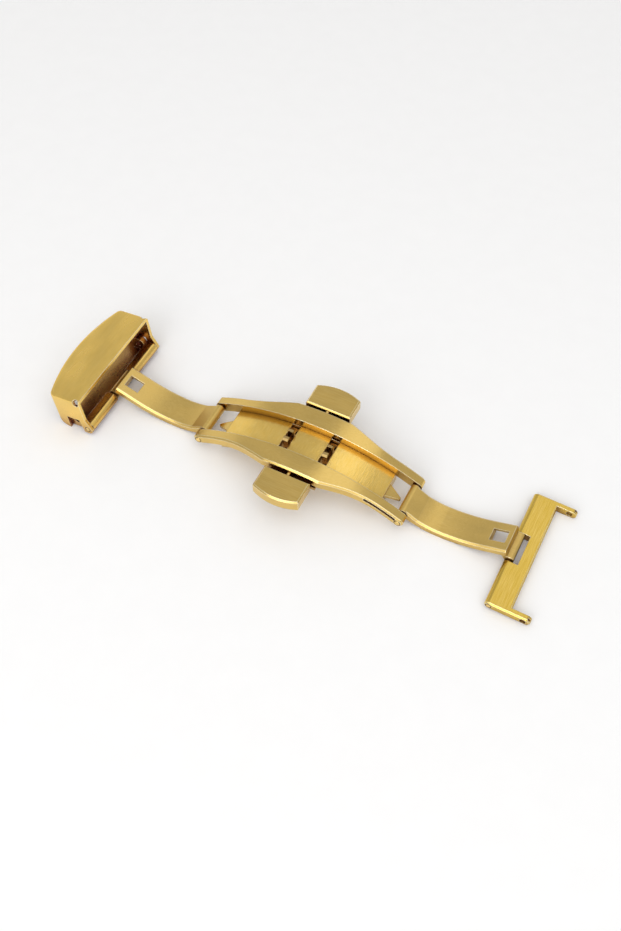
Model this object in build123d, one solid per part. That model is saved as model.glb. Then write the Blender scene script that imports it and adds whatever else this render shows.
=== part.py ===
from build123d import *
import math
import os

# Butterfly clasp for a watch strap, opened out flat. Millimetres, +Z up, +X towards the strap plate.
# It is modelled about the middle of its centre frame and then set on the surface it stands on.

# Centre frame: two arched rails that carry the arm pins
PIN_REACH = 16.2
RAIL_MID_RADIUS = 35.5
RAIL_DEPTH = 1.6
RAIL_INNER_HALF = 2.72
RAIL_OUTER_HALF = 4.25
FLARE_OUTER_HALF = 5.82
FLARE_HALF_LENGTH = 4.4
FLARE_RUN = 5.7
FLARE_SHOULDER_RADIUS = 1.2
FLARE_WAIST_RADIUS = 20.0
RAIL_BEVEL = 0.25
RAIL_GROOVE_NEAR = 10.9
RAIL_GROOVE_FAR = 15.8
RAIL_GROOVE_HEIGHT = 0.5
RAIL_GROOVE_DEPTH = 0.4
RECESS_WIDTH = 1.3
RECESS_DEPTH = 0.5
RECESS_DROP = 0.7

# Floor of the frame, which joins the rails below the cover plate
COVER_PLATE_DROP = 1.3
COVER_PLATE_THICKNESS = 0.45
FLOOR_THICKNESS = 1.25
FLOOR_HALF_LENGTH = 12.8
SKIRT_THICKNESS = 0.48
TOOTH_REACH = 2.45
TOOTH_BASE_HALF = 1.1
TOOTH_TIP_RADIUS = 0.25
TOOTH_THICKNESS = 0.4

# Windows in the cover plate, and the hooks that rise through them
WINDOW_OFFSET = 3.15
WINDOW_WIDTH = 1.35
WINDOW_END_MARGIN = 0.12
HOOK_WIDTH = 0.85
HOOK_STEM_INNER = 0.5
HOOK_STEM_THICKNESS = 0.4
HOOK_NOSE_REACH = 0.35
HOOK_NOSE_LIFT = 0.62
HOOK_NOSE_HEIGHT = 0.4
SLIDE_HALF_LENGTH = 4.0
SLIDE_TAB_HALF_LENGTH = 3.25
SLIDE_THICKNESS = 0.5
SLIDE_TOP_DROP = 0.31
SLIDE_NOTCH_RADIUS = 0.45

# Pushers on the two long sides
PUSHER_HALF_LENGTH = 3.58
PUSHER_GAP = 0.58
PUSHER_SIDE_DEPTH = 3.69
PUSHER_BOW = 0.81
PUSHER_HEIGHT = 1.75
PUSHER_BEVEL = 0.2
GUIDE_PIN_RADIUS = 0.325
GUIDE_PIN_GRIP = 1.2
GUIDE_BORE_DEPTH = 2.3
GUIDE_DROP = 0.85
SPRING_ROOM = 1.2
SPRING_WIRE_RADIUS = 0.06
SPRING_COIL_RADIUS = 0.24
SPRING_TURNS = 4
BUTTON_RIVET_OFFSET = 2.4
BUTTON_RIVET_RADIUS = 0.4
BUTTON_RIVET_GRIP = 1.0
BUTTON_RIVET_HEAD_RADIUS = 0.65
BUTTON_RIVET_HEAD_HEIGHT = 0.15
COVER_RIVET_OFFSET_X = 9.0
COVER_RIVET_OFFSET_Y = 1.6
COVER_RIVET_RADIUS = 0.4
COVER_RIVET_GRIP = 0.2

# Folding arms, the right one as it lies and the left one mirrored
ARM_HALF_WIDTH = 2.45
ARM_THICKNESS = 1.05
ARM_BEVEL = 0.25
ARM_BARREL_RADIUS = 0.75
ARM_ROOT_ANGLE = 60.0
ARM_BEND_REACH = 2.3
ARM_BEND_DROP = 0.46
ARM_VALLEY_REACH = 5.5
ARM_VALLEY_DROP = 1.0
LEAF_RADIUS = 20.0
LEAF_STRAIGHT_REACH = 11.8
LEAF_END_REACH = 15.4
LEAF_TO_END_PIN = 0.75
END_PIN_DROP = 1.15
END_BARREL_RADIUS = 0.65
KNUCKLE_HALF_WIDTH = 2.3
KNUCKLE_RISE = 1.05
KNUCKLE_FLAT = 0.2
KNUCKLE_ROUND = 0.45
NECK_REACH = 1.1
CATCH_HOLE_REACH = 13.65
CATCH_HOLE_LENGTH = 2.3
CATCH_HOLE_HALF_WIDTH = 1.0
CATCH_POCKET_HALF_WIDTH = 1.45
CATCH_LEDGE_THICKNESS = 0.35
LEFT_ARM_LIFT = 1.1

# Pins
FRAME_PIN_RADIUS = 0.42
FRAME_PIN_PROUD = 0.05
END_PIN_RADIUS = 0.35
PIN_RING_WIDTH = 0.12
PIN_RING_DEPTH = 0.15
RUNNING_FIT = 0.04

# Strap plate on the right, with two lugs for a spring bar
STRAP_PLATE_HALF_WIDTH = 10.0
STRAP_PLATE_DEPTH = 3.1
STRAP_PLATE_TILT = 2.4
STRAP_PLATE_BEVEL = 0.2
LUG_THICKNESS = 0.85
LUG_REACH = 6.0
SPRING_BAR_REACH = 4.95
SPRING_BAR_HOLE_RADIUS = 0.45
LUG_NOTCH_REACH = 5.5
LUG_NOTCH_WIDTH = 0.35
LUG_NOTCH_INSET = 0.15
LUG_NOTCH_DEPTH = 0.45
SLOT_HALF_WIDTH = 2.55
SLOT_REACH = 1.35

# Base of the left end, with an ear for the strap bar at each side
BASE_HALF_WIDTH = 9.05
BASE_BARREL_RADIUS = 0.85
BASE_WEB_REACH = 4.6
BASE_WEB_THICKNESS = 0.35
BASE_WEB_DROP = 0.7
BASE_BLOCK_REACH = 0.95
BASE_TILT = 6.0
EAR_THICKNESS = 0.9
EAR_RADIUS = 1.15
EAR_BAR_REACH = 2.1
EAR_BAR_RISE = 0.7

# Hood over the left end
HOOD_SIDE_GAP = 0.05
HOOD_WALL = 0.5
HOOD_TOP_WALL = 0.55
HOOD_RISE = 5.97
HOOD_RIM_SETBACK = 0.03
HOOD_DEPTH = 5.2
HOOD_BOW = 1.85
HOOD_CORNER_RADIUS = 2.0
HOOD_PLAN_RADIUS = 0.9
HOOD_EDGE_RADIUS = 0.5
HOOD_LIP_DROP = 2.6
HOOD_NOTCH_NEAR = 0.75
HOOD_NOTCH_FAR = 3.3
HOOD_NOTCH_RISE = 1.6
HOOD_NOTCH_SLANT = 0.35
RELIEF_HOLE_RADIUS = 0.5
RELIEF_HOLE_SETBACK = 0.6
RELIEF_HOLE_DROP = 0.25
RELIEF_HOLE_SLANT = 45.0

# Room that every cut runs past the surface it opens
OVERRUN = 1.0

# Shares of a length or of an arc
MIDDLE_SHARE = 0.5
DIAGONAL_SHARE = math.sqrt(0.5)
NECK_FOOT_SHARE = 0.8
HOOD_RIM_FOOT_SHARE = 1 / 3

# Radii of the arched layers, all about one centre below the frame
RAIL_TOP_RADIUS = RAIL_MID_RADIUS + RAIL_DEPTH / 2
RAIL_BOTTOM_RADIUS = RAIL_MID_RADIUS - RAIL_DEPTH / 2
PLATE_TOP_RADIUS = RAIL_TOP_RADIUS - COVER_PLATE_DROP
PLATE_BOTTOM_RADIUS = PLATE_TOP_RADIUS - COVER_PLATE_THICKNESS
FLOOR_BOTTOM_RADIUS = PLATE_BOTTOM_RADIUS - FLOOR_THICKNESS
ARC_CENTER_Z = -math.sqrt(RAIL_MID_RADIUS ** 2 - PIN_REACH ** 2)
RAIL_END_ANGLE = math.degrees(math.asin(PIN_REACH / RAIL_MID_RADIUS))


def arc_height(radius, x):
    """Height of an arched layer above a place along the frame."""
    return ARC_CENTER_Z + math.sqrt(radius ** 2 - x ** 2)


RAIL_TOP_Z = arc_height(RAIL_TOP_RADIUS, 0)
SLIDE_TOP_Z = arc_height(PLATE_BOTTOM_RADIUS, 0) - SLIDE_TOP_DROP
SLIDE_BOTTOM_Z = SLIDE_TOP_Z - SLIDE_THICKNESS
PUSHER_BOTTOM_Z = SLIDE_TOP_Z
PUSHER_TOP_Z = PUSHER_BOTTOM_Z + PUSHER_HEIGHT
PUSHER_INNER_Y = FLARE_OUTER_HALF + PUSHER_GAP
PUSHER_CORNER_Y = PUSHER_INNER_Y + PUSHER_SIDE_DEPTH
GUIDE_PIN_Z = RAIL_TOP_Z - GUIDE_DROP
GUIDE_BORE_INNER_Y = FLARE_OUTER_HALF - GUIDE_BORE_DEPTH
BUTTON_RIVET_Y = PUSHER_INNER_Y + PUSHER_SIDE_DEPTH / 2
SLIDE_OUTER_Y = PUSHER_CORNER_Y - BUTTON_RIVET_HEAD_RADIUS
WINDOW_HALF_LENGTH = RAIL_INNER_HALF - WINDOW_END_MARGIN
END_PIN_REACH = LEAF_END_REACH + LEAF_TO_END_PIN
HOOD_INNER_HALF = BASE_HALF_WIDTH + HOOD_SIDE_GAP
HOOD_OUTER_HALF = HOOD_INNER_HALF + HOOD_WALL


def slab(x0, x1, y0, y1, z0, z1):
    """Box between two corners."""
    return Pos((x0 + x1) / 2, (y0 + y1) / 2, (z0 + z1) / 2) * Box(abs(x1 - x0), abs(y1 - y0), abs(z1 - z0))


def rod_y(x, z, radius, y0, y1):
    """Round bar along Y between two places."""
    return Pos(x, (y0 + y1) / 2, z) * Rot(X=90) * Cylinder(radius, abs(y1 - y0))


def rod_z(x, y, radius, z0, z1):
    """Round bar along Z between two heights."""
    return Pos(x, y, (z0 + z1) / 2) * Cylinder(radius, abs(z1 - z0))


def side_prism(face, y0, y1):
    """Side outline, drawn with X across and Z up, carried from y0 to y1."""
    return extrude(Plane.XZ.offset(-y1) * face, amount=y1 - y0)


def plan_prism(face, z0, z1):
    """Plan outline carried from one height to another."""
    return extrude(Plane.XY.offset(z0) * face, amount=z1 - z0)


def mirrored(solid, normal):
    """Mirror image across the plane through the middle with this normal."""
    return mirror(solid, about=normal)


def pin_ring(x, z, radius, mouth):
    """Shallow ring round the end of a pin, open at the mouth's side."""
    side = math.copysign(1, mouth)
    return rod_y(x, z, radius + PIN_RING_WIDTH, mouth - side * PIN_RING_DEPTH, mouth + side * OVERRUN)


def arched_layer(inner_radius, outer_radius, half_length, half_width):
    """Part of an arched sheet between two radii, cut square at both ends."""
    ring = Cylinder(outer_radius, half_width * 2) - Cylinder(inner_radius, half_width * 2 + OVERRUN)
    ring = Pos(0, 0, ARC_CENTER_Z) * Rot(X=90) * ring
    crop = slab(-half_length, half_length, -half_width, half_width, ARC_CENTER_Z, outer_radius)
    return ring & crop


def rail_side_outline():
    """Side view of a rail: a curved strip with a round end about each pin axis."""
    sweep_angle = RAIL_END_ANGLE * 2
    start = 90 - RAIL_END_ANGLE
    top = CenterArc((0, ARC_CENTER_Z), RAIL_TOP_RADIUS, start, sweep_angle)
    bottom = CenterArc((0, ARC_CENTER_Z), RAIL_BOTTOM_RADIUS, start, sweep_angle)
    right = CenterArc((PIN_REACH, 0), RAIL_DEPTH / 2, 90 - RAIL_END_ANGLE, -180)
    left = CenterArc((-PIN_REACH, 0), RAIL_DEPTH / 2, 90 + RAIL_END_ANGLE, 180)
    return make_face([top, left, bottom, right])


def rail_plan_outline():
    """Plan of the far rail, wide beside the pusher and narrow at the pins."""
    end = PIN_REACH + RAIL_DEPTH
    waist = FLARE_HALF_LENGTH + FLARE_RUN
    corners = [
        (-end, RAIL_INNER_HALF),
        (end, RAIL_INNER_HALF),
        (end, RAIL_OUTER_HALF),
        (waist, RAIL_OUTER_HALF),
        (FLARE_HALF_LENGTH, FLARE_OUTER_HALF),
        (-FLARE_HALF_LENGTH, FLARE_OUTER_HALF),
        (-waist, RAIL_OUTER_HALF),
        (-end, RAIL_OUTER_HALF),
    ]
    outline = make_face(Polyline(*corners, close=True))
    waists = [v for v in outline.vertices() if math.isclose(abs(v.X), waist)]
    outline = fillet(waists, FLARE_WAIST_RADIUS)
    shoulders = [v for v in outline.vertices() if math.isclose(abs(v.X), FLARE_HALF_LENGTH)]
    return fillet(shoulders, FLARE_SHOULDER_RADIUS)


def rail_groove():
    """Groove in the outer side of the far rail, beside its right pin."""
    top = RAIL_TOP_RADIUS - RAIL_BEVEL
    groove = arched_layer(top - RAIL_GROOVE_HEIGHT, top, RAIL_GROOVE_FAR, FLARE_OUTER_HALF)
    inner = RAIL_OUTER_HALF - RAIL_GROOVE_DEPTH
    groove -= slab(-PIN_REACH, PIN_REACH, -FLARE_OUTER_HALF - OVERRUN, inner, -PIN_REACH, PIN_REACH)
    return groove - slab(-PIN_REACH, RAIL_GROOVE_NEAR, 0, PIN_REACH, -PIN_REACH, PIN_REACH)


def rail():
    """Far rail, before its bores and recess."""
    band = side_prism(rail_side_outline(), RAIL_INNER_HALF - OVERRUN, FLARE_OUTER_HALF + OVERRUN)
    solid = band & plan_prism(rail_plan_outline(), -RAIL_DEPTH - OVERRUN, RAIL_TOP_Z + OVERRUN)
    rim = []
    for edge in solid.edges():
        middle = edge.position_at(MIDDLE_SHARE)
        on_top = abs(math.hypot(middle.X, middle.Z - ARC_CENTER_Z) - RAIL_TOP_RADIUS) < RUNNING_FIT
        if on_top and middle.Y > RAIL_OUTER_HALF - RUNNING_FIT:
            rim.append(edge)
    return chamfer(rim, RAIL_BEVEL) - rail_groove()


def tooth():
    """Pointed tongue at the right end of the frame floor."""
    base_x = FLOOR_HALF_LENGTH
    tip_x = base_x + TOOTH_REACH
    corners = [
        (base_x - TOOTH_REACH, -TOOTH_BASE_HALF),
        (base_x, -TOOTH_BASE_HALF),
        (tip_x, 0),
        (base_x, TOOTH_BASE_HALF),
        (base_x - TOOTH_REACH, TOOTH_BASE_HALF),
    ]
    outline = make_face(Polyline(*corners, close=True))
    tip = [v for v in outline.vertices() if math.isclose(v.X, tip_x)]
    outline = fillet(tip, TOOTH_TIP_RADIUS)
    top_radius = PLATE_BOTTOM_RADIUS
    layer = arched_layer(top_radius - TOOTH_THICKNESS, top_radius, tip_x, RAIL_INNER_HALF)
    return layer & plan_prism(outline, -RAIL_DEPTH - OVERRUN, RAIL_TOP_Z)


def center_frame():
    """One piece: both rails, the floor between them and the teeth at its ends."""
    far = rail()
    skirt_half = RAIL_INNER_HALF + SKIRT_THICKNESS
    floor = arched_layer(FLOOR_BOTTOM_RADIUS, PLATE_BOTTOM_RADIUS, FLOOR_HALF_LENGTH, skirt_half)
    skirt = arched_layer(FLOOR_BOTTOM_RADIUS, RAIL_MID_RADIUS, FLOOR_HALF_LENGTH, skirt_half)
    skirt -= slab(-PIN_REACH, PIN_REACH, -RAIL_INNER_HALF, RAIL_INNER_HALF, -PIN_REACH, PIN_REACH)
    solid = far + mirrored(far, Plane.XZ) + floor + skirt + tooth() + mirrored(tooth(), Plane.YZ)
    pocket_half = SLIDE_HALF_LENGTH + RUNNING_FIT * 2
    pocket_floor = SLIDE_BOTTOM_Z - RUNNING_FIT
    pocket_top = arc_height(RAIL_BOTTOM_RADIUS, 0)
    solid -= slab(-pocket_half, pocket_half, -skirt_half, skirt_half, pocket_floor, pocket_top)
    for side in (-1, 1):
        solid -= rod_y(side * PIN_REACH, 0, FRAME_PIN_RADIUS, -FLARE_OUTER_HALF, FLARE_OUTER_HALF)
        for mouth in (-RAIL_OUTER_HALF, RAIL_OUTER_HALF):
            solid -= pin_ring(side * PIN_REACH, 0, FRAME_PIN_RADIUS, mouth)
        bore_radius = GUIDE_PIN_RADIUS + RUNNING_FIT
        bore_mouth = side * (FLARE_OUTER_HALF + OVERRUN)
        solid -= rod_y(0, GUIDE_PIN_Z, bore_radius, side * GUIDE_BORE_INNER_Y, bore_mouth)
        recess_z = arc_height(RAIL_TOP_RADIUS, WINDOW_OFFSET) - RECESS_DROP
        recess_x = WINDOW_OFFSET + RECESS_WIDTH / 2
        solid -= slab(WINDOW_OFFSET - RECESS_WIDTH / 2, recess_x, side * (RAIL_INNER_HALF - OVERRUN),
                      side * (RAIL_INNER_HALF + RECESS_DEPTH), recess_z - RECESS_DROP, recess_z)
    for rivet in cover_plate_rivet_rods():
        solid -= rivet
    return solid


def cover_plate_rivet_rods():
    """Four headless rivets that hold the cover plate to the frame floor."""
    rods = []
    bottom = arc_height(FLOOR_BOTTOM_RADIUS, COVER_RIVET_OFFSET_X)
    top = arc_height(PLATE_BOTTOM_RADIUS, COVER_RIVET_OFFSET_X) + COVER_RIVET_GRIP
    for side_x in (-1, 1):
        for side_y in (-1, 1):
            x = side_x * COVER_RIVET_OFFSET_X
            y = side_y * COVER_RIVET_OFFSET_Y
            rods.append(rod_z(x, y, COVER_RIVET_RADIUS, bottom, top))
    return rods


def latch_cover_plate():
    """Thin arched plate between the rails, with a window for each pair of hooks."""
    half_width = RAIL_INNER_HALF - RUNNING_FIT / 2
    solid = arched_layer(PLATE_BOTTOM_RADIUS, PLATE_TOP_RADIUS, FLOOR_HALF_LENGTH, half_width)
    for side in (-1, 1):
        x0 = side * WINDOW_OFFSET - WINDOW_WIDTH / 2
        x1 = side * WINDOW_OFFSET + WINDOW_WIDTH / 2
        solid -= slab(x0, x1, -WINDOW_HALF_LENGTH, WINDOW_HALF_LENGTH, 0, RAIL_TOP_Z)
    for rivet in cover_plate_rivet_rods():
        solid -= rivet
    return solid


def slide_hook(x):
    """Hook of the far slide, its nose turned outward."""
    plate_z = arc_height(PLATE_TOP_RADIUS, WINDOW_OFFSET)
    nose_bottom = plate_z + HOOK_NOSE_LIFT
    nose_top = nose_bottom + HOOK_NOSE_HEIGHT
    stem_outer = HOOK_STEM_INNER + HOOK_STEM_THICKNESS
    nose_outer = stem_outer + HOOK_NOSE_REACH
    outline = make_face(Polyline(
        (HOOK_STEM_INNER, SLIDE_BOTTOM_Z),
        (stem_outer, SLIDE_BOTTOM_Z),
        (stem_outer, nose_bottom),
        (nose_outer, nose_bottom),
        (nose_outer, nose_bottom + HOOK_NOSE_HEIGHT / 2),
        (stem_outer, nose_top),
        (HOOK_STEM_INNER, nose_top),
        close=True))
    return extrude(Plane.YZ.offset(x - HOOK_WIDTH / 2) * outline, amount=HOOK_WIDTH)


def far_slide():
    """Flat slide below the cover plate, riveted under the far pusher, with two hooks."""
    solid = slab(-SLIDE_HALF_LENGTH, SLIDE_HALF_LENGTH, HOOK_STEM_INNER, FLARE_OUTER_HALF,
                 SLIDE_BOTTOM_Z, SLIDE_TOP_Z)
    solid += slab(-SLIDE_TAB_HALF_LENGTH, SLIDE_TAB_HALF_LENGTH, FLARE_OUTER_HALF, SLIDE_OUTER_Y,
                  SLIDE_BOTTOM_Z, SLIDE_TOP_Z)
    for side in (-1, 1):
        solid += slide_hook(side * WINDOW_OFFSET)
    for rivet in button_rivet_shanks(1):
        solid -= rivet
    notch_y = (HOOK_STEM_INNER + HOOK_STEM_THICKNESS + WINDOW_HALF_LENGTH) / 2
    for side in (-1, 1):
        notch_x = side * WINDOW_OFFSET + WINDOW_WIDTH / 2
        solid -= rod_z(notch_x, notch_y, SLIDE_NOTCH_RADIUS, SLIDE_BOTTOM_Z - OVERRUN, SLIDE_TOP_Z + OVERRUN)
    return solid


def button_rivet_shanks(side):
    """Shanks of the two rivets below one pusher, far for 1 and near for -1."""
    rods = []
    for side_x in (-1, 1):
        x = side_x * BUTTON_RIVET_OFFSET
        rods.append(rod_z(x, side * BUTTON_RIVET_Y, BUTTON_RIVET_RADIUS, SLIDE_BOTTOM_Z,
                          PUSHER_BOTTOM_Z + BUTTON_RIVET_GRIP))
    return rods


def button_rivets(side):
    """Two rivets, each with a flat head below the slide."""
    rivets = []
    for shank in button_rivet_shanks(side):
        x = shank.center().X
        head = rod_z(x, side * BUTTON_RIVET_Y, BUTTON_RIVET_HEAD_RADIUS,
                     SLIDE_BOTTOM_Z - BUTTON_RIVET_HEAD_HEIGHT, SLIDE_BOTTOM_Z)
        rivets.append(shank + head)
    return Compound([rivet.solid() for rivet in rivets])


def guide_pin(side):
    """Stem pressed into a pusher, which runs in the blind bore of the rail."""
    inner = GUIDE_BORE_INNER_Y + SPRING_ROOM
    outer = PUSHER_INNER_Y + GUIDE_PIN_GRIP
    return rod_y(0, GUIDE_PIN_Z, GUIDE_PIN_RADIUS, side * inner, side * outer)


def pusher_button(side):
    """Pusher with a bowed outer face."""
    inner = side * PUSHER_INNER_Y
    corner = side * PUSHER_CORNER_Y
    crown = side * (PUSHER_CORNER_Y + PUSHER_BOW)
    outline = make_face([
        Line((-PUSHER_HALF_LENGTH, inner), (PUSHER_HALF_LENGTH, inner)),
        Line((PUSHER_HALF_LENGTH, inner), (PUSHER_HALF_LENGTH, corner)),
        ThreePointArc((PUSHER_HALF_LENGTH, corner), (0, crown), (-PUSHER_HALF_LENGTH, corner)),
        Line((-PUSHER_HALF_LENGTH, corner), (-PUSHER_HALF_LENGTH, inner)),
    ])
    solid = plan_prism(outline, PUSHER_BOTTOM_Z, PUSHER_TOP_Z)
    rim = solid.faces().sort_by(Axis.Z)[-1].edges()
    solid = chamfer(rim, PUSHER_BEVEL)
    solid -= guide_pin(side)
    for shank in button_rivet_shanks(side):
        solid -= shank
    return solid


def return_spring(side):
    """Coil between the floor of the blind bore and the end of the guide pin."""
    clear = SPRING_WIRE_RADIUS
    start = GUIDE_BORE_INNER_Y + clear
    length = SPRING_ROOM - clear * 2
    path = Helix(pitch=length / SPRING_TURNS, height=length, radius=SPRING_COIL_RADIUS)
    section = Plane(origin=path @ 0, z_dir=path % 0) * Circle(SPRING_WIRE_RADIUS)
    coil = sweep(section, path=path, is_frenet=True)
    return Pos(0, side * start, GUIDE_PIN_Z) * Rot(X=-90 * side) * coil


def leaf_slope():
    """Angle of the straight outer stretch of the leaf, in radians."""
    return math.asin((LEAF_STRAIGHT_REACH - ARM_VALLEY_REACH) / LEAF_RADIUS)


def point_on_arc(share, offset):
    """Point on the leaf's arc, from 0 at the valley to 1 at its end, below the top surface by the offset."""
    angle = leaf_slope() * share
    radius = LEAF_RADIUS + offset
    x = ARM_VALLEY_REACH + radius * math.sin(angle)
    return (x, LEAF_RADIUS - ARM_VALLEY_DROP - radius * math.cos(angle))


def point_on_straight(reach, offset):
    """Point on the leaf's straight stretch, below the top surface by the offset."""
    x, z = point_on_arc(1, offset)
    run = (reach - LEAF_STRAIGHT_REACH) / math.cos(leaf_slope())
    return (x + run * math.cos(leaf_slope()), z + run * math.sin(leaf_slope()))


def arm_outline():
    """Side view of the right arm, from the frame pin at the middle of the drawing."""
    valley_top = (ARM_VALLEY_REACH, -ARM_VALLEY_DROP)
    valley_bottom = (ARM_VALLEY_REACH, -ARM_VALLEY_DROP - ARM_THICKNESS)
    bend_top = (ARM_BEND_REACH, -ARM_BEND_DROP)
    bend_run = ARM_VALLEY_REACH - ARM_BEND_REACH
    bend_fall = ARM_VALLEY_DROP - ARM_BEND_DROP
    bend_radius = (bend_run ** 2 + bend_fall ** 2) / (bend_fall * 2)
    bend_angle = math.asin(bend_run / bend_radius)
    outer_radius = bend_radius + ARM_THICKNESS
    bend_bottom = (ARM_VALLEY_REACH - outer_radius * math.sin(bend_angle),
                   bend_radius - ARM_VALLEY_DROP - outer_radius * math.cos(bend_angle))
    half = bend_angle / 2
    bend_mid_top = (ARM_VALLEY_REACH - bend_radius * math.sin(half),
                    bend_radius - ARM_VALLEY_DROP - bend_radius * math.cos(half))
    bend_mid_bottom = (ARM_VALLEY_REACH - outer_radius * math.sin(half),
                       bend_radius - ARM_VALLEY_DROP - outer_radius * math.cos(half))
    end_top = point_on_straight(LEAF_END_REACH, 0)
    end_bottom = point_on_straight(LEAF_END_REACH, ARM_THICKNESS)
    root = math.radians(ARM_ROOT_ANGLE)
    tangent_top = (ARM_BARREL_RADIUS * math.cos(root), ARM_BARREL_RADIUS * math.sin(root))
    tangent_bottom = (-ARM_BARREL_RADIUS * math.cos(root), -ARM_BARREL_RADIUS * math.sin(root))
    return make_face([
        Line(tangent_bottom, tangent_top),
        Line(tangent_top, bend_top),
        ThreePointArc(bend_top, bend_mid_top, valley_top),
        ThreePointArc(valley_top, point_on_arc(MIDDLE_SHARE, 0), point_on_arc(1, 0)),
        Line(point_on_arc(1, 0), end_top),
        Line(end_top, end_bottom),
        Line(end_bottom, point_on_arc(1, ARM_THICKNESS)),
        ThreePointArc(point_on_arc(1, ARM_THICKNESS), point_on_arc(MIDDLE_SHARE, ARM_THICKNESS),
                      valley_bottom),
        ThreePointArc(valley_bottom, bend_mid_bottom, bend_bottom),
        Line(bend_bottom, tangent_bottom),
    ])


def neck_outline():
    """Side view of the flat-topped knuckle that drops from the leaf's end to the outer barrel."""
    end_x, end_z = point_on_straight(LEAF_END_REACH, ARM_THICKNESS / 2)
    inner_x, inner_z = point_on_straight(LEAF_END_REACH - NECK_REACH, ARM_THICKNESS / 2)
    top_z = KNUCKLE_RISE - END_PIN_DROP
    flat_x = END_PIN_REACH + KNUCKLE_FLAT
    outer_x = flat_x + KNUCKLE_ROUND
    round_x = flat_x + KNUCKLE_ROUND * DIAGONAL_SHARE
    round_z = top_z - KNUCKLE_ROUND + KNUCKLE_ROUND * DIAGONAL_SHARE
    foot_x = END_PIN_REACH - END_BARREL_RADIUS * NECK_FOOT_SHARE
    return make_face([
        Line((inner_x, inner_z), (end_x, end_z)),
        Line((end_x, end_z), (end_x, top_z)),
        Line((end_x, top_z), (flat_x, top_z)),
        ThreePointArc((flat_x, top_z), (round_x, round_z), (outer_x, top_z - KNUCKLE_ROUND)),
        Line((outer_x, top_z - KNUCKLE_ROUND), (outer_x, -END_PIN_DROP)),
        Line((outer_x, -END_PIN_DROP), (foot_x, -END_PIN_DROP)),
        Line((foot_x, -END_PIN_DROP), (inner_x, inner_z)),
    ])


def arm():
    """Folding arm in its own frame, pin axis at the middle and the leaf towards +X."""
    blade = side_prism(arm_outline(), -ARM_HALF_WIDTH, ARM_HALF_WIDTH)
    rim = []
    for edge in blade.edges():
        middle = edge.position_at(MIDDLE_SHARE)
        along = abs(abs(middle.Y) - ARM_HALF_WIDTH) < RUNNING_FIT
        over = ARM_BEND_REACH / 2 < middle.X < LEAF_END_REACH - RUNNING_FIT
        if along and over and middle.Z > arm_middle_height(middle.X):
            rim.append(edge)
    blade = chamfer(rim, ARM_BEVEL)
    solid = blade + rod_y(0, 0, ARM_BARREL_RADIUS, -ARM_HALF_WIDTH, ARM_HALF_WIDTH)
    solid += side_prism(neck_outline(), -KNUCKLE_HALF_WIDTH, KNUCKLE_HALF_WIDTH)
    solid += rod_y(END_PIN_REACH, -END_PIN_DROP, END_BARREL_RADIUS, -KNUCKLE_HALF_WIDTH, KNUCKLE_HALF_WIDTH)
    solid -= rod_y(0, 0, FRAME_PIN_RADIUS + RUNNING_FIT, -ARM_HALF_WIDTH - OVERRUN, ARM_HALF_WIDTH + OVERRUN)
    solid -= rod_y(END_PIN_REACH, -END_PIN_DROP, END_PIN_RADIUS + RUNNING_FIT,
                   -ARM_HALF_WIDTH - OVERRUN, ARM_HALF_WIDTH + OVERRUN)
    hole_x, hole_z = point_on_straight(CATCH_HOLE_REACH, 0)
    slope = math.degrees(leaf_slope())
    hole = slab(-CATCH_HOLE_LENGTH / 2, CATCH_HOLE_LENGTH / 2, -CATCH_HOLE_HALF_WIDTH, CATCH_HOLE_HALF_WIDTH,
                -ARM_THICKNESS - OVERRUN, OVERRUN)
    hole += slab(-CATCH_HOLE_LENGTH / 2, CATCH_HOLE_LENGTH / 2, -CATCH_POCKET_HALF_WIDTH,
                 CATCH_POCKET_HALF_WIDTH, -ARM_THICKNESS - OVERRUN, -CATCH_LEDGE_THICKNESS)
    return solid - Pos(hole_x, 0, hole_z) * Rot(Y=-slope) * hole


def arm_middle_height(x):
    """Height of the middle of the arm's thickness, near enough to tell its top from its bottom."""
    if x > LEAF_STRAIGHT_REACH:
        return point_on_straight(x, ARM_THICKNESS / 2)[1]
    sag = LEAF_RADIUS - math.sqrt(LEAF_RADIUS ** 2 - (x - ARM_VALLEY_REACH) ** 2)
    return sag - ARM_VALLEY_DROP - ARM_THICKNESS / 2


def right_arm():
    return Pos(PIN_REACH, 0, 0) * arm()


def left_arm():
    return Pos(-PIN_REACH, 0, 0) * Rot(Y=LEFT_ARM_LIFT) * mirrored(arm(), Plane.YZ)


def right_end_axis():
    """Place of the right end pin: along the frame, and its height."""
    return (PIN_REACH + END_PIN_REACH, -END_PIN_DROP)


def left_end_axis():
    """Place of the left end pin, with the left arm lifted about its frame pin."""
    lift = math.radians(LEFT_ARM_LIFT)
    x = END_PIN_REACH * math.cos(lift) + END_PIN_DROP * math.sin(lift)
    z = END_PIN_REACH * math.sin(lift) - END_PIN_DROP * math.cos(lift)
    return (-PIN_REACH - x, z)


def at_right_end(solid):
    x, z = right_end_axis()
    return Pos(x, 0, z) * Rot(Y=STRAP_PLATE_TILT) * solid


def at_left_end(solid):
    x, z = left_end_axis()
    return Pos(x, 0, z) * Rot(Y=-BASE_TILT) * mirrored(solid, Plane.YZ)


def frame_pin(side):
    half = RAIL_OUTER_HALF + FRAME_PIN_PROUD
    solid = rod_y(side * PIN_REACH, 0, FRAME_PIN_RADIUS, -half, half)
    return chamfer(solid.edges().filter_by(GeomType.CIRCLE), FRAME_PIN_PROUD)


def hinge_edge_bar(depth, half_width, radius):
    """Flat bar with a round edge about the pin axis, square at its outer edge."""
    bar = slab(0, depth, -half_width, half_width, -radius, radius)
    return bar + rod_y(0, 0, radius, -half_width, half_width)


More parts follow.
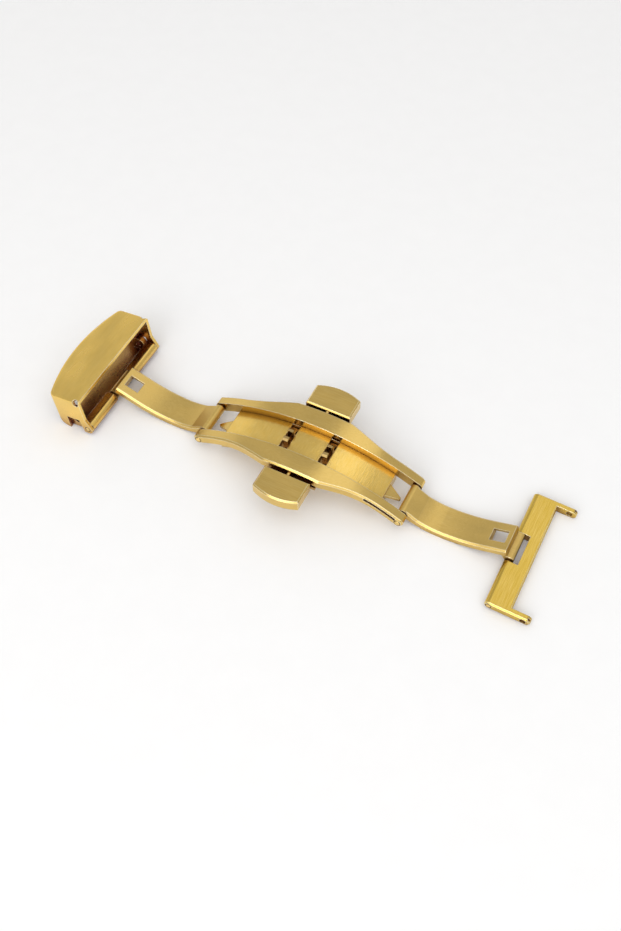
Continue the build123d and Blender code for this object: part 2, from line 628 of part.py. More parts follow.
def strap_plate():
    """Right end plate: a bar with a slot for the arm, and two lugs for a spring bar."""
    half = END_BARREL_RADIUS
    solid = hinge_edge_bar(STRAP_PLATE_DEPTH, STRAP_PLATE_HALF_WIDTH, half)
    for side in (-1, 1):
        y0 = side * STRAP_PLATE_HALF_WIDTH
        y1 = side * (STRAP_PLATE_HALF_WIDTH - LUG_THICKNESS)
        solid += slab(0, LUG_REACH - half, y0, y1, -half, half)
        solid += rod_y(LUG_REACH - half, 0, half, y0, y1)
    solid = chamfer(strap_plate_rim(solid), STRAP_PLATE_BEVEL)
    solid -= slab(-OVERRUN, SLOT_REACH, -SLOT_HALF_WIDTH, SLOT_HALF_WIDTH, -OVERRUN, OVERRUN)
    solid -= rod_y(0, 0, END_PIN_RADIUS, -STRAP_PLATE_HALF_WIDTH, STRAP_PLATE_HALF_WIDTH)
    for side in (-1, 1):
        solid -= pin_ring(0, 0, END_PIN_RADIUS, side * STRAP_PLATE_HALF_WIDTH)
        notch_y = side * (STRAP_PLATE_HALF_WIDTH - LUG_NOTCH_INSET)
        solid -= slab(LUG_NOTCH_REACH, LUG_REACH + OVERRUN, notch_y, notch_y - side * LUG_NOTCH_WIDTH,
                      half - LUG_NOTCH_DEPTH, half + OVERRUN)
    solid -= rod_y(SPRING_BAR_REACH, 0, SPRING_BAR_HOLE_RADIUS,
                   -STRAP_PLATE_HALF_WIDTH - OVERRUN, STRAP_PLATE_HALF_WIDTH + OVERRUN)
    return at_right_end(solid)


def strap_plate_rim(solid):
    """Straight top edges of the bar's outer side and of both ends."""
    half = END_BARREL_RADIUS
    rim = []
    for edge in solid.edges().filter_by(GeomType.LINE):
        middle = edge.position_at(MIDDLE_SHARE)
        top = abs(middle.Z - half) < RUNNING_FIT
        end = abs(abs(middle.Y) - STRAP_PLATE_HALF_WIDTH) < RUNNING_FIT
        outer = abs(middle.X - STRAP_PLATE_DEPTH) < RUNNING_FIT and abs(middle.Y) < RUNNING_FIT
        if top and (end or outer):
            rim.append(edge)
    return rim


def right_end_pin():
    half = STRAP_PLATE_HALF_WIDTH
    return at_right_end(rod_y(0, 0, END_PIN_RADIUS, -half, half))


def buckle_base():
    """Left base: a round-edged block about the pin, a thin web and an ear at each side."""
    solid = hinge_edge_bar(BASE_BLOCK_REACH, BASE_HALF_WIDTH, BASE_BARREL_RADIUS)
    solid += slab(0, BASE_WEB_REACH, -BASE_HALF_WIDTH, BASE_HALF_WIDTH,
                  -BASE_WEB_DROP, BASE_WEB_THICKNESS - BASE_WEB_DROP)
    for side in (-1, 1):
        y0 = side * BASE_HALF_WIDTH
        y1 = side * (BASE_HALF_WIDTH - EAR_THICKNESS)
        solid += rod_y(EAR_BAR_REACH, EAR_BAR_RISE, EAR_RADIUS, y0, y1)
        solid += slab(BASE_BLOCK_REACH, EAR_BAR_REACH + EAR_RADIUS, y0, y1, -BASE_WEB_DROP, EAR_BAR_RISE)
    solid -= slab(-OVERRUN, SLOT_REACH, -SLOT_HALF_WIDTH, SLOT_HALF_WIDTH, -OVERRUN, OVERRUN)
    solid -= rod_y(0, 0, END_PIN_RADIUS, -BASE_HALF_WIDTH, BASE_HALF_WIDTH)
    solid -= rod_y(EAR_BAR_REACH, EAR_BAR_RISE, SPRING_BAR_HOLE_RADIUS,
                   -BASE_HALF_WIDTH - OVERRUN, BASE_HALF_WIDTH + OVERRUN)
    return at_left_end(solid)


def left_end_pin():
    half = HOOD_OUTER_HALF
    return at_left_end(rod_y(0, 0, END_PIN_RADIUS, -half, half))


def hood_plan(rim, inset):
    """Plan of the hood: straight inner rim, square ends and a bowed outer side with round corners."""
    side = HOOD_DEPTH - inset
    crown = HOOD_DEPTH + HOOD_BOW - inset
    half = HOOD_OUTER_HALF - inset
    outline = make_face([
        Line((rim, -half), (rim, half)),
        Line((rim, half), (side, half)),
        ThreePointArc((side, half), (crown, 0), (side, -half)),
        Line((side, -half), (rim, -half)),
    ])
    corners = [v for v in outline.vertices() if math.isclose(v.X, side)]
    return fillet(corners, HOOD_PLAN_RADIUS - inset)


def hood_end_outline():
    """Side view of an end wall, round where it meets the outer side and round about the pin."""
    low = -BASE_BARREL_RADIUS
    rim = -HOOD_RIM_SETBACK
    outer = HOOD_DEPTH + HOOD_BOW
    round_x = HOOD_DEPTH - HOOD_CORNER_RADIUS
    round_z = low + HOOD_CORNER_RADIUS
    round_mid = (round_x + HOOD_CORNER_RADIUS * DIAGONAL_SHARE, round_z - HOOD_CORNER_RADIUS * DIAGONAL_SHARE)
    pin_mid = (low * DIAGONAL_SHARE, low * DIAGONAL_SHARE)
    rim_foot = HOOD_RISE * HOOD_RIM_FOOT_SHARE
    return make_face([
        Line((rim, HOOD_RISE), (outer, HOOD_RISE)),
        Line((outer, HOOD_RISE), (outer, round_z)),
        Line((outer, round_z), (HOOD_DEPTH, round_z)),
        ThreePointArc((HOOD_DEPTH, round_z), round_mid, (round_x, low)),
        Line((round_x, low), (0, low)),
        ThreePointArc((0, low), pin_mid, (low, 0)),
        Line((low, 0), (rim, rim_foot)),
        Line((rim, rim_foot), (rim, HOOD_RISE)),
    ])


def hood_notch():
    """Notch in the foot of an end wall, which shows the ear behind it."""
    low = -BASE_BARREL_RADIUS
    return make_face(Polyline(
        (HOOD_NOTCH_NEAR, low - OVERRUN),
        (HOOD_NOTCH_NEAR, low),
        (HOOD_NOTCH_NEAR + HOOD_NOTCH_SLANT, HOOD_NOTCH_RISE),
        (HOOD_NOTCH_FAR, HOOD_NOTCH_RISE),
        (HOOD_NOTCH_FAR, low - OVERRUN),
        close=True))


def hood_shell():
    """Bowed top with its lip and two end walls, round at the outer corners and along the top."""
    rim = -HOOD_RIM_SETBACK
    lip_z = HOOD_RISE - HOOD_LIP_DROP
    top = plan_prism(hood_plan(rim, 0), lip_z, HOOD_RISE)
    top -= plan_prism(hood_plan(rim - OVERRUN, HOOD_WALL), lip_z - OVERRUN, HOOD_RISE - HOOD_TOP_WALL)
    walls = side_prism(hood_end_outline(), -HOOD_OUTER_HALF, HOOD_OUTER_HALF)
    walls &= plan_prism(hood_plan(-BASE_BARREL_RADIUS, 0), -BASE_BARREL_RADIUS, HOOD_RISE)
    walls -= slab(-HOOD_DEPTH, HOOD_DEPTH * 2, -HOOD_INNER_HALF, HOOD_INNER_HALF, -HOOD_RISE, HOOD_RISE * 2)
    solid = top + walls
    brim = []
    for edge in solid.edges():
        middle = edge.position_at(MIDDLE_SHARE)
        level = math.isclose(edge.position_at(0).Z, HOOD_RISE) and math.isclose(middle.Z, HOOD_RISE)
        if level and middle.X > rim + RUNNING_FIT:
            brim.append(edge)
    return fillet(brim, HOOD_EDGE_RADIUS)


def buckle_cover():
    """Hood over the left end, which swings on the end pin."""
    solid = hood_shell()
    solid -= side_prism(hood_notch(), -HOOD_OUTER_HALF - OVERRUN, HOOD_OUTER_HALF + OVERRUN)
    solid -= rod_y(0, 0, END_PIN_RADIUS + RUNNING_FIT, -HOOD_OUTER_HALF - OVERRUN, HOOD_OUTER_HALF + OVERRUN)
    for side in (-1, 1):
        solid -= pin_ring(0, 0, END_PIN_RADIUS, side * HOOD_OUTER_HALF)
        relief = Rot(X=-side * RELIEF_HOLE_SLANT) * Cylinder(RELIEF_HOLE_RADIUS, OVERRUN * 2)
        relief_z = HOOD_RISE - RELIEF_HOLE_DROP
        solid -= Pos(RELIEF_HOLE_SETBACK - HOOD_RIM_SETBACK, side * HOOD_OUTER_HALF, relief_z) * relief
    return at_left_end(solid)


def all_parts():
    """Every piece by name, in the frame's own place."""
    return {
        "center_frame": center_frame(),
        "latch_cover_plate": latch_cover_plate(),
        "cover_plate_rivets": Compound([rod.solid() for rod in cover_plate_rivet_rods()]),
        "far_pusher_button": pusher_button(1),
        "near_pusher_button": pusher_button(-1),
        "far_slide": far_slide(),
        "near_slide": mirrored(far_slide(), Plane.XZ),
        "far_button_rivets": button_rivets(1),
        "near_button_rivets": button_rivets(-1),
        "far_guide_pin": guide_pin(1),
        "near_guide_pin": guide_pin(-1),
        "far_return_spring": return_spring(1),
        "near_return_spring": return_spring(-1),
        "right_frame_pin": frame_pin(1),
        "left_frame_pin": frame_pin(-1),
        "right_arm": right_arm(),
        "left_arm": left_arm(),
        "right_end_pin": right_end_pin(),
        "left_end_pin": left_end_pin(),
        "strap_plate": strap_plate(),
        "buckle_base": buckle_base(),
        "buckle_cover": buckle_cover(),
    }


def main():
    parts = all_parts()
    boxes = [solid.bounding_box() for solid in parts.values()]
    low_x = min(box.min.X for box in boxes)
    high_x = max(box.max.X for box in boxes)
    low_y = min(box.min.Y for box in boxes)
    high_y = max(box.max.Y for box in boxes)
    low_z = min(box.min.Z for box in boxes)
    shift = Pos(-(low_x + high_x) / 2, -(low_y + high_y) / 2, -low_z)
    os.makedirs("parts", exist_ok=True)
    for name, solid in parts.items():
        export_step(shift * solid, f"parts/{name}.step")
    right_x, right_z = right_end_axis()
    left_x, left_z = left_end_axis()
    ear_angle = math.radians(BASE_TILT)
    ear_x = left_x - EAR_BAR_REACH * math.cos(ear_angle) - EAR_BAR_RISE * math.sin(ear_angle)
    ear_z = left_z - EAR_BAR_REACH * math.sin(ear_angle) + EAR_BAR_RISE * math.cos(ear_angle)
    bar_angle = math.radians(STRAP_PLATE_TILT)
    bar_x = right_x + SPRING_BAR_REACH * math.cos(bar_angle)
    bar_z = right_z - SPRING_BAR_REACH * math.sin(bar_angle)
    places = {
        "frame pin axes": (PIN_REACH, 0),
        "left frame pin axis": (-PIN_REACH, 0),
        "right end pin axis": (right_x, right_z),
        "left end pin axis": (left_x, left_z),
        "spring bar axis": (bar_x, bar_z),
        "ear bar axis": (ear_x, ear_z),
    }
    for name, (x, z) in places.items():
        print(name, (shift * Pos(x, 0, z)).position)


main()
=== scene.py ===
import math

import bpy
from bpy.props import FloatProperty, FloatVectorProperty, PointerProperty
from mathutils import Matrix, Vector


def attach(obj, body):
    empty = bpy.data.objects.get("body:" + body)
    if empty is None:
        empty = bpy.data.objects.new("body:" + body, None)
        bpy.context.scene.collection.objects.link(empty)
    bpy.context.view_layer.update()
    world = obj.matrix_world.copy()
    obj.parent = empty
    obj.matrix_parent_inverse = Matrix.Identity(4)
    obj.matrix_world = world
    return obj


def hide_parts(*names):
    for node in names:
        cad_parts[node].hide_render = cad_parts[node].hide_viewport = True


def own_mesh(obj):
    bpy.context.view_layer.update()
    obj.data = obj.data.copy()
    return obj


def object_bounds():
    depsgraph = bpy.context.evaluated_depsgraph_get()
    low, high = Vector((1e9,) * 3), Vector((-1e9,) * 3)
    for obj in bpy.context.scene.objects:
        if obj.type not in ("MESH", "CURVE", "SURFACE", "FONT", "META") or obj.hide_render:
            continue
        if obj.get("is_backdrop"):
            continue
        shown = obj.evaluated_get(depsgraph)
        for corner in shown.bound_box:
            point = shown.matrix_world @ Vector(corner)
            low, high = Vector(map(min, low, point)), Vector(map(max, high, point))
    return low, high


bl_info = {
    "name": "Butterfly Clasp",
    "version": (1, 0, 0),
    "blender": (4, 5, 0),
    "location": "3D View > Sidebar > Clasp",
    "description": "Finishes a gold-plated butterfly clasp and lights it on a plain pale table",
    "category": "Object",
}

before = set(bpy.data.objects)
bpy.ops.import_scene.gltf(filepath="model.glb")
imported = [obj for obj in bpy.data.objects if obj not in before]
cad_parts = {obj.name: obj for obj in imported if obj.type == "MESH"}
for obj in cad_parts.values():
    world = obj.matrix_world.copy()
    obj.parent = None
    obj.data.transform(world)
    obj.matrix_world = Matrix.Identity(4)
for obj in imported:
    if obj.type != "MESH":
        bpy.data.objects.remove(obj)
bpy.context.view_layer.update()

# Camera: focal length in pixels of a picture of this width, and the point of the table that it faces
PICTURE_WIDTH = 621
FOCAL_LENGTH_PX = 1075
SENSOR_WIDTH = 36.0
CAMERA_AIM = (0.000988, 0.000424, 0)
CLIP_NEAR = 0.01
CLIP_FAR = 20

# Lamps: side length and place of each
LAMPS = {
    "key": (0.80, (0.16, -0.26, 0.44)),
    "fill": (0.15, (0.04, 0.235, 0.38)),
    "side": (0.20, (-0.37, 0.24, 0.15)),
    "front": (0.26, (-0.045, -0.38, 0.24)),
}
ROOM_COLOR = (1.0, 0.992, 0.985)

# Table: its reach in lengths of the clasp's diagonal, and its faint mottling
TABLE_REACH_SHARE = 12
TABLE_ROUGHNESS = 0.6
TABLE_SHEEN = 0.2
TABLE_MOTTLE = 0.004
TABLE_PALER_SHARE = 1.01

# Brush strokes: length over width, how far they turn pale, and depth for their width
STROKE_STRETCH = 60
FLECK_STRETCH = 9
STROKE_SHARE = 0.35
STROKE_DEPTH_SHARE = 0.1

# Clouds of wear and haze: width in brush strokes, length over width, darkest tone, and spread of the gloss
CLOUD_PITCH = 90
HAZE_PITCH = 20
CLOUD_STRETCH = 2
WEAR_SHARE = 0.86
HAZE_SHARE = 0.8
GLOSS_SPREAD = 0.04

# Span of the noise that is used, and its layers of detail
NOISE_LOW = 0.35
NOISE_HIGH = 0.65
NOISE_DETAIL = 3

# Rubbed edges with a painted highlight, and closed-in places with painted shade: samples, and the ends of
# their ramps
EDGE_SAMPLES = 4
EDGE_TURNED = 0.92
EDGE_FLAT = 0.995
POLISHED_EDGE_SHARE = 0.5
SHADE_CLOSED = 0.35
SHADE_OPEN = 0.8

# Brushed finishes: way of the strokes, roughness and strength of the relief
FRAME_FINISH = ("X", 0.2, 0.15)
PLATE_FINISH = ("Y", 0.22, 1.0)
ARM_FINISH = ("X", 0.34, 0.3)
PUSHER_FINISH = ("X", 0.2, 0.15)
STRAP_FINISH = ("Y", 0.24, 0.2)
HOOD_FINISH = ("Y", 0.24, 0.2)

# Roughness of the polished finishes
SLIDE_ROUGHNESS = 0.22
SPRING_ROUGHNESS = 0.3
PIN_ROUGHNESS = 0.2

FRAME_NODES = ["center_frame"]
PLATE_NODES = ["latch_cover_plate"]
ARM_NODES = ["left_arm", "right_arm"]
PUSHER_NODES = ["near_pusher_button", "far_pusher_button"]
SLIDE_NODES = ["near_slide", "far_slide"]
STRAP_NODES = ["strap_plate"]
HOOD_NODES = ["buckle_base", "buckle_cover"]
PIN_NODES = ["left_frame_pin", "right_frame_pin", "left_end_pin", "right_end_pin", "near_guide_pin",
             "far_guide_pin", "near_button_rivets", "far_button_rivets", "cover_plate_rivets"]
SPRING_JOINTS = {"near_return_spring": "near_pusher_slide", "far_return_spring": "far_pusher_slide"}


class ClaspGold(bpy.types.PropertyGroup):
    """Colours and grain of the clasp's metals."""

    brushed: FloatVectorProperty(
        name="Brushed gold", description="Colour of the frame, the arms and the pushers", subtype="COLOR",
        size=3, min=0, max=1, default=(0.74, 0.50, 0.135))
    # Lighter copy of the gold. On the hood it is painted brightness, standing in for the light that the
    # hood catches
    light: FloatVectorProperty(
        name="Light gold", description="Colour of the hood and the cover plate", subtype="COLOR",
        size=3, min=0, max=1, default=(0.97, 0.65, 0.15))
    strap: FloatVectorProperty(
        name="Deep gold", description="Colour of the strap plate", subtype="COLOR",
        size=3, min=0, max=1, default=(0.66, 0.435, 0.050))
    glint: FloatVectorProperty(
        name="Grain tone", description="Paler tone that the grain mixes in", subtype="COLOR",
        size=3, min=0, max=1, default=(0.97, 0.74, 0.30))
    # Partly rubbed wear, partly painted highlight: a pale tone mixed in along every edge
    rubbed_and_highlit: FloatVectorProperty(
        name="Rubbed edge", description="Bright tone of edges that are rubbed to a shine", subtype="COLOR",
        size=3, min=0, max=1, default=(1.0, 0.90, 0.60))
    # Painted shade: a dark brown tone mixed into the gold deep in gaps
    recess_shade: FloatVectorProperty(
        name="Recess tone", description="Brown tone of the gold deep in gaps", subtype="COLOR",
        size=3, min=0, max=1, default=(0.30, 0.16, 0.055))
    # Painted shade: a dark red-brown tone mixed into the gold inside the hood
    hood_shade: FloatVectorProperty(
        name="Hood interior", description="Dark red-brown tone of the gold inside the hood",
        subtype="COLOR", size=3, min=0, max=1, default=(0.24, 0.08, 0.06))
    polished: FloatVectorProperty(
        name="Polished gold", description="Colour of the polished pins", subtype="COLOR",
        size=3, min=0, max=1, default=(0.94, 0.68, 0.24))
    slide: FloatVectorProperty(
        name="Slide metal", description="Colour of the catch slides", subtype="COLOR",
        size=3, min=0, max=1, default=(0.64, 0.44, 0.17))
    spring: FloatVectorProperty(
        name="Spring wire", description="Colour of the return springs", subtype="COLOR",
        size=3, min=0, max=1, default=(0.55, 0.53, 0.50))
    grain: FloatProperty(
        name="Grain pitch", description="Width of one brushed stroke", subtype="DISTANCE",
        unit="LENGTH", min=0.00001, default=0.00004)
    fleck: FloatProperty(
        name="Fleck pitch", description="Width of one coarse stroke on the cover plate", subtype="DISTANCE",
        unit="LENGTH", min=0.00001, default=0.00013)
    edge: FloatProperty(
        name="Edge softness", description="Radius over which an edge catches the light",
        subtype="DISTANCE", unit="LENGTH", min=0.0, default=0.00017)
    wave: FloatProperty(
        name="Waviness", description="Height of the slow waves in the metal", subtype="DISTANCE",
        unit="LENGTH", min=0.0, default=0.00005)
    # How far a facing wall spreads the painted shade, in gaps and inside the hood
    shade_reach: FloatProperty(
        name="Recess reach", description="How far a facing wall darkens the gold", subtype="DISTANCE",
        unit="LENGTH", min=0.0, default=0.002)
    hood_shade_reach: FloatProperty(
        name="Hood reach", description="How far a facing wall darkens the gold of the hood",
        subtype="DISTANCE", unit="LENGTH", min=0.0, default=0.007)


class ClaspStage(bpy.types.PropertyGroup):
    """Table, lamps and camera."""

    table: FloatVectorProperty(
        name="Table", description="Colour of the table top", subtype="COLOR",
        size=3, min=0, max=1, default=(0.95, 0.95, 0.95))
    glow: FloatProperty(
        name="Table whiteness", description="Light added to the table where it is seen", min=0,
        default=0.04)
    sky: FloatProperty(
        name="Room light", description="Strength of the even light from all round", min=0, default=0.60)
    key: FloatProperty(
        name="Key lamp", description="Power of the wide lamp above the front on the right",
        subtype="POWER", unit="POWER", min=0, default=1.5)
    fill: FloatProperty(
        name="Fill lamp", description="Power of the faint lamp high behind, which lights the cover plate",
        subtype="POWER", unit="POWER", min=0, default=0.042)
    side: FloatProperty(
        name="Side lamp", description="Power of the faint low lamp behind on the left", subtype="POWER",
        unit="POWER", min=0, default=0.036)
    front: FloatProperty(
        name="Front lamp", description="Power of the low lamp in front, which lights the bevels",
        subtype="POWER", unit="POWER", min=0, default=0.42)
    elevation: FloatProperty(
        name="Camera elevation", description="Angle at which the camera looks down", subtype="ANGLE",
        unit="ROTATION", default=math.radians(54.82))
    azimuth: FloatProperty(
        name="Camera azimuth", description="Angle by which the camera stands to the right", subtype="ANGLE",
        unit="ROTATION", default=math.radians(26.88))
    distance: FloatProperty(
        name="Camera distance", description="Distance from the camera to the middle of the table",
        subtype="DISTANCE", unit="LENGTH", default=0.1597)


def new_material(name, base, metallic, roughness):
    """Node material with one Principled shader, and the pieces that its recipe needs."""
    material = bpy.data.materials.new(name)
    material.use_nodes = True
    material.node_tree.nodes.clear()
    nodes = material.node_tree.nodes
    links = material.node_tree.links
    output = nodes.new("ShaderNodeOutputMaterial")
    shader = nodes.new("ShaderNodeBsdfPrincipled")
    shader.inputs["Base Color"].default_value = (*base, 1)
    shader.inputs["Metallic"].default_value = metallic
    shader.inputs["Roughness"].default_value = roughness
    links.new(shader.outputs["BSDF"], output.inputs["Surface"])
    return material, nodes, links, shader


def stroked_noise(nodes, links, pitch, along, stretch):
    """Noise drawn out into strokes along one axis of the piece."""
    place = nodes.new("ShaderNodeTexCoord")
    mapping = nodes.new("ShaderNodeMapping")
    scale = [1 / pitch] * 3
    scale["XYZ".index(along)] = 1 / (pitch * stretch)
    mapping.inputs["Scale"].default_value = scale
    noise = nodes.new("ShaderNodeTexNoise")
    noise.inputs["Scale"].default_value = 1
    noise.inputs["Detail"].default_value = NOISE_DETAIL
    links.new(place.outputs["Object"], mapping.inputs["Vector"])
    links.new(mapping.outputs["Vector"], noise.inputs["Vector"])
    return noise


def ramp(nodes, links, source, low, high, start, end):
    """Maps a factor from one span to another."""
    node = nodes.new("ShaderNodeMapRange")
    node.inputs["From Min"].default_value = low
    node.inputs["From Max"].default_value = high
    node.inputs["To Min"].default_value = start
    node.inputs["To Max"].default_value = end
    links.new(source, node.inputs["Value"])
    return node.outputs["Result"]


def mixed_color(nodes, links, factor, first, second):
    """Mixes two colours, given as colours or as sockets, by a factor."""
    node = nodes.new("ShaderNodeMix")
    node.data_type = "RGBA"
    links.new(factor, node.inputs["Factor"])
    for socket, value in ((node.inputs["A"], first), (node.inputs["B"], second)):
        if isinstance(value, bpy.types.NodeSocket):
            links.new(value, socket)
        else:
            socket.default_value = (*value, 1)
    return node.outputs["Result"]


def soft_edges(nodes, radius):
    """Normals that round every edge by a small radius, so that it catches the light."""
    node = nodes.new("ShaderNodeBevel")
    node.samples = EDGE_SAMPLES
    node.inputs["Radius"].default_value = radius
    return node.outputs["Normal"]


def bumped(nodes, links, height, strength, distance, normal):
    """Lays the relief of a height on a normal."""
    bump = nodes.new("ShaderNodeBump")
    bump.inputs["Strength"].default_value = strength
    bump.inputs["Distance"].default_value = distance
    links.new(height, bump.inputs["Height"])
    links.new(normal, bump.inputs["Normal"])
    return bump.outputs["Normal"]


def highlit_edge_mask(nodes, links, rounded):
    """Mask of the painted edge highlight: one along the edges, where the rounded normal turns from the
    face's own, and nothing elsewhere.
    """
    own = nodes.new("ShaderNodeNewGeometry")
    likeness = nodes.new("ShaderNodeVectorMath")
    likeness.operation = "DOT_PRODUCT"
    links.new(own.outputs["Normal"], likeness.inputs[0])
    links.new(rounded, likeness.inputs[1])
    return ramp(nodes, links, likeness.outputs["Value"], EDGE_TURNED, EDGE_FLAT, 1, 0)


def painted_recess_shade(nodes, links, color, tone, reach):
    """Paints shade: turns a colour to a dark tone where walls close it in."""
    shade = nodes.new("ShaderNodeAmbientOcclusion")
    shade.samples = EDGE_SAMPLES
    shade.inputs["Distance"].default_value = reach
    depth = ramp(nodes, links, shade.outputs["AO"], SHADE_CLOSED, SHADE_OPEN, 1, 0)
    return mixed_color(nodes, links, depth, color, tone)


def brushed_gold(name, settings, base, along, roughness, strength, pitch=None, stretch=STROKE_STRETCH,
                 tone=None, reach=None):
    """Brushed gold plate: strokes along one axis, cloudy wear, edges with rubbed wear and a painted
    highlight, and painted shade where walls close it in.
    """
    material, nodes, links, shader = new_material(name, base, 1.0, roughness)
    pitch = pitch or settings.grain
    strokes = stroked_noise(nodes, links, pitch, along, stretch)
    clouds = stroked_noise(nodes, links, settings.grain * CLOUD_PITCH, along, CLOUD_STRETCH)
    wear = ramp(nodes, links, clouds.outputs["Fac"], NOISE_LOW, NOISE_HIGH, 0, 1)
    darker = tuple(channel * WEAR_SHARE for channel in base)
    worn = mixed_color(nodes, links, wear, darker, base)
    fleck = ramp(nodes, links, strokes.outputs["Fac"], NOISE_LOW, NOISE_HIGH, 0, STROKE_SHARE)
    color = mixed_color(nodes, links, fleck, worn, settings.glint)
    rounded = soft_edges(nodes, settings.edge)
    # Painted highlight along the edges, over their rubbed wear
    color = mixed_color(nodes, links, highlit_edge_mask(nodes, links, rounded), color, settings.rubbed_and_highlit)
    # Painted shade where walls close the gold in
    color = painted_recess_shade(nodes, links, color, tone or settings.recess_shade, reach or settings.shade_reach)
    links.new(color, shader.inputs["Base Color"])
    rough = ramp(nodes, links, clouds.outputs["Fac"], NOISE_LOW, NOISE_HIGH, roughness - GLOSS_SPREAD,
                 roughness + GLOSS_SPREAD)
    links.new(rough, shader.inputs["Roughness"])
    waves = bumped(nodes, links, clouds.outputs["Fac"], 1, settings.wave, rounded)
    grained = bumped(nodes, links, strokes.outputs["Fac"], strength, pitch * STROKE_DEPTH_SHARE, waves)
    links.new(grained, shader.inputs["Normal"])
    return material


def polished_metal(name, base, settings, roughness):
    """Polished metal with a faint haze of handling marks, and painted shade where walls close it in."""
    material, nodes, links, shader = new_material(name, base, 1.0, roughness)
    haze = stroked_noise(nodes, links, settings.grain * HAZE_PITCH, "Y", CLOUD_STRETCH)
    rough = ramp(nodes, links, haze.outputs["Fac"], NOISE_LOW, NOISE_HIGH, roughness - GLOSS_SPREAD,
                 roughness + GLOSS_SPREAD)
    links.new(rough, shader.inputs["Roughness"])
    darker = tuple(channel * HAZE_SHARE for channel in base)
    spread = ramp(nodes, links, haze.outputs["Fac"], NOISE_LOW, NOISE_HIGH, 0, 1)
    color = mixed_color(nodes, links, spread, darker, base)
    # Painted shade where walls close the metal in
    color = painted_recess_shade(nodes, links, color, settings.recess_shade, settings.shade_reach)
    links.new(color, shader.inputs["Base Color"])
    links.new(soft_edges(nodes, settings.edge * POLISHED_EDGE_SHARE), shader.inputs["Normal"])
    return material


def dress(nodes, material):
    """Gives the named pieces a material."""
    for name in nodes:
        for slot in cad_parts[name].material_slots:
            slot.material = material


def add_springs(material):
    """Coils attached to the frame, in place of the stiff ones."""
    for name, joint in SPRING_JOINTS.items():
        spring = bpy.data.objects.new(name + "_coil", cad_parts[name].data.copy())
        bpy.context.scene.collection.objects.link(spring)
        spring.data.materials.clear()
        spring.data.materials.append(material)
        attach(spring, "frame")
        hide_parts(name)
        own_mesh(spring)


class CLASP_OT_frame(bpy.types.Operator):
    """Finishes the centre frame and its cover plate"""

    bl_idname = "clasp.frame"
    bl_label = "Finish Centre Frame"

    def execute(self, context):
        gold = context.scene.clasp_gold
        dress(FRAME_NODES, brushed_gold("frame_gold", gold, gold.brushed, *FRAME_FINISH))
        dress(PLATE_NODES, brushed_gold("cover_plate_gold", gold, gold.light, *PLATE_FINISH,
                                        pitch=gold.fleck, stretch=FLECK_STRETCH))
        return {"FINISHED"}


class CLASP_OT_arms(bpy.types.Operator):
    """Finishes the two folding arms"""

    bl_idname = "clasp.arms"
    bl_label = "Finish Arms"

    def execute(self, context):
        gold = context.scene.clasp_gold
        dress(ARM_NODES, brushed_gold("arm_gold", gold, gold.brushed, *ARM_FINISH))
        return {"FINISHED"}


class CLASP_OT_pushers(bpy.types.Operator):
    """Finishes the pushers, the catch slides and the springs behind them"""

    bl_idname = "clasp.pushers"
    bl_label = "Finish Pushers and Slides"

    def execute(self, context):
        gold = context.scene.clasp_gold
        dress(PUSHER_NODES, brushed_gold("pusher_gold", gold, gold.brushed, *PUSHER_FINISH))
        dress(SLIDE_NODES, polished_metal("slide_metal", gold.slide, gold, SLIDE_ROUGHNESS))
        add_springs(polished_metal("spring_wire", gold.spring, gold, SPRING_ROUGHNESS))
        return {"FINISHED"}


class CLASP_OT_ends(bpy.types.Operator):
    """Finishes the strap plate, the base, the hood and all the pins"""

    bl_idname = "clasp.ends"
    bl_label = "Finish Strap Ends and Pins"

    def execute(self, context):
        gold = context.scene.clasp_gold
        dress(STRAP_NODES, brushed_gold("strap_plate_gold", gold, gold.strap, *STRAP_FINISH))
        # The hood: lighter gold painted for the light it catches, and a deeper, darker painted shade inside
        dress(HOOD_NODES, brushed_gold("hood_gold", gold, gold.light, *HOOD_FINISH,
                                       tone=gold.hood_shade, reach=gold.hood_shade_reach))
        dress(PIN_NODES, polished_metal("pin_gold", gold.polished, gold, PIN_ROUGHNESS))
        return {"FINISHED"}


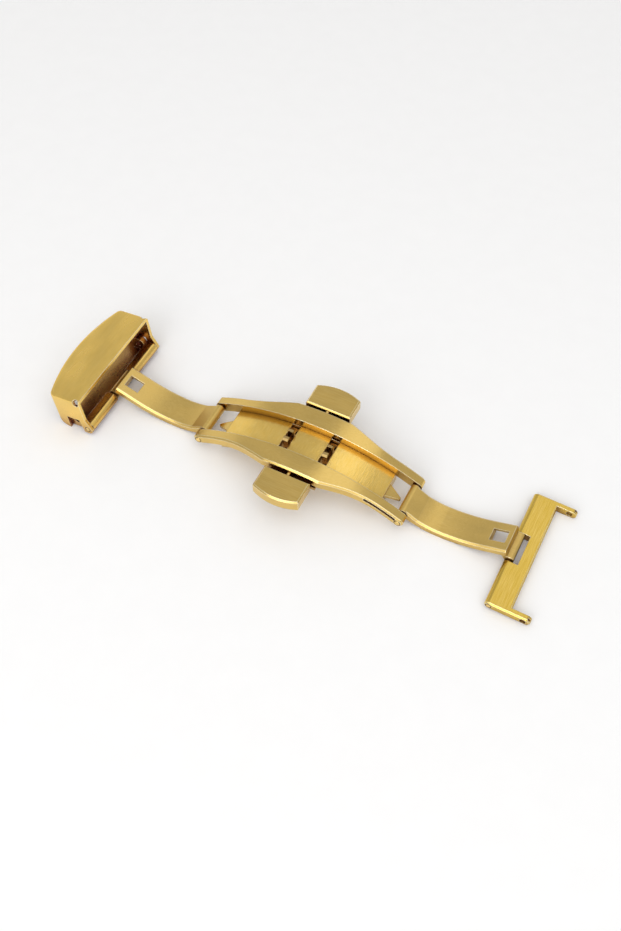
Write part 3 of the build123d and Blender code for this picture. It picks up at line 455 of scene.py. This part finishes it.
def add_table(settings):
    """Pale table top that shows white and keeps the object's shadow."""
    low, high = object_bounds()
    reach = (Vector(high) - Vector(low)).length * TABLE_REACH_SHARE
    mesh = bpy.data.meshes.new("table")
    corners = [(-reach, -reach, 0), (reach, -reach, 0), (reach, reach, 0), (-reach, reach, 0)]
    mesh.from_pydata(corners, [], [(0, 1, 2, 3)])
    table = bpy.data.objects.new("table", mesh)
    bpy.context.scene.collection.objects.link(table)
    material, nodes, links, shader = new_material("table_top", settings.table, 0.0, TABLE_ROUGHNESS)
    mottle = stroked_noise(nodes, links, TABLE_MOTTLE, "X", 1)
    tone = ramp(nodes, links, mottle.outputs["Fac"], NOISE_LOW, NOISE_HIGH, 0, 1)
    paler = tuple(min(1, channel * TABLE_PALER_SHARE) for channel in settings.table)
    links.new(mixed_color(nodes, links, tone, settings.table, paler), shader.inputs["Base Color"])
    shader.inputs["Specular IOR Level"].default_value = TABLE_SHEEN
    shader.inputs["Emission Color"].default_value = (*settings.table, 1)
    path = nodes.new("ShaderNodeLightPath")
    seen = path.outputs["Is Camera Ray"]
    for kind in ("Is Glossy Ray", "Is Transmission Ray"):
        either = nodes.new("ShaderNodeMath")
        either.operation = "MAXIMUM"
        links.new(seen, either.inputs[0])
        links.new(path.outputs[kind], either.inputs[1])
        seen = either.outputs["Value"]
    links.new(ramp(nodes, links, seen, 0, 1, 0, settings.glow), shader.inputs["Emission Strength"])
    mesh.materials.append(material)
    table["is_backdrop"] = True


def add_lamp(name, power, size, place):
    """Soft square lamp that faces the middle of the table."""
    data = bpy.data.lights.new(name, "AREA")
    data.energy = power
    data.size = size
    lamp = bpy.data.objects.new(name, data)
    lamp.location = place
    lamp.rotation_euler = (-Vector(place)).to_track_quat("-Z", "Y").to_euler()
    bpy.context.scene.collection.objects.link(lamp)


def add_room(settings):
    """Even pale light from all round."""
    world = bpy.data.worlds.new("room")
    world.use_nodes = True
    background = world.node_tree.nodes["Background"]
    background.inputs["Color"].default_value = (*ROOM_COLOR, 1)
    background.inputs["Strength"].default_value = settings.sky
    bpy.context.scene.world = world


def add_camera(settings):
    """Camera at the photograph's angle, aimed at the middle of the table."""
    data = bpy.data.cameras.new("camera")
    data.sensor_fit = "HORIZONTAL"
    data.sensor_width = SENSOR_WIDTH
    data.lens = FOCAL_LENGTH_PX / PICTURE_WIDTH * SENSOR_WIDTH
    data.clip_start = CLIP_NEAR
    data.clip_end = CLIP_FAR
    camera = bpy.data.objects.new("camera", data)
    flat = math.cos(settings.elevation)
    back = Vector((math.sin(settings.azimuth) * flat, -math.cos(settings.azimuth) * flat,
                   math.sin(settings.elevation)))
    camera.location = Vector(CAMERA_AIM) + back * settings.distance
    camera.rotation_euler = (math.pi / 2 - settings.elevation, 0, settings.azimuth)
    bpy.context.scene.collection.objects.link(camera)
    bpy.context.scene.camera = camera


class CLASP_OT_stage(bpy.types.Operator):
    """Lays the table and sets the lamps, the room and the camera"""

    bl_idname = "clasp.stage"
    bl_label = "Set the Stage"

    def execute(self, context):
        settings = context.scene.clasp_stage
        add_table(settings)
        add_room(settings)
        for name, (size, place) in LAMPS.items():
            add_lamp(name, getattr(settings, name), size, place)
        add_camera(settings)
        context.scene.view_settings.view_transform = "Standard"
        return {"FINISHED"}


class CLASP_PT_panel(bpy.types.Panel):
    """Panel that lists the clasp's steps"""

    bl_idname = "CLASP_PT_panel"
    bl_label = "Butterfly Clasp"
    bl_space_type = "VIEW_3D"
    bl_region_type = "UI"
    bl_category = "Clasp"

    def draw(self, context):
        for operator in OPERATORS:
            self.layout.operator(operator.bl_idname)
        for group in (context.scene.clasp_gold, context.scene.clasp_stage):
            for name in group.__annotations__:
                self.layout.prop(group, name)


OPERATORS = [CLASP_OT_frame, CLASP_OT_arms, CLASP_OT_pushers, CLASP_OT_ends, CLASP_OT_stage]
CLASSES = [ClaspGold, ClaspStage, *OPERATORS, CLASP_PT_panel]


def register():
    for item in CLASSES:
        bpy.utils.register_class(item)
    bpy.types.Scene.clasp_gold = PointerProperty(type=ClaspGold)
    bpy.types.Scene.clasp_stage = PointerProperty(type=ClaspStage)


def unregister():
    del bpy.types.Scene.clasp_stage
    del bpy.types.Scene.clasp_gold
    for item in reversed(CLASSES):
        bpy.utils.unregister_class(item)


def main():
    register()
    bpy.ops.clasp.frame()
    bpy.ops.clasp.arms()
    bpy.ops.clasp.pushers()
    bpy.ops.clasp.ends()
    bpy.ops.clasp.stage()


if __name__ == "__main__":
    main()
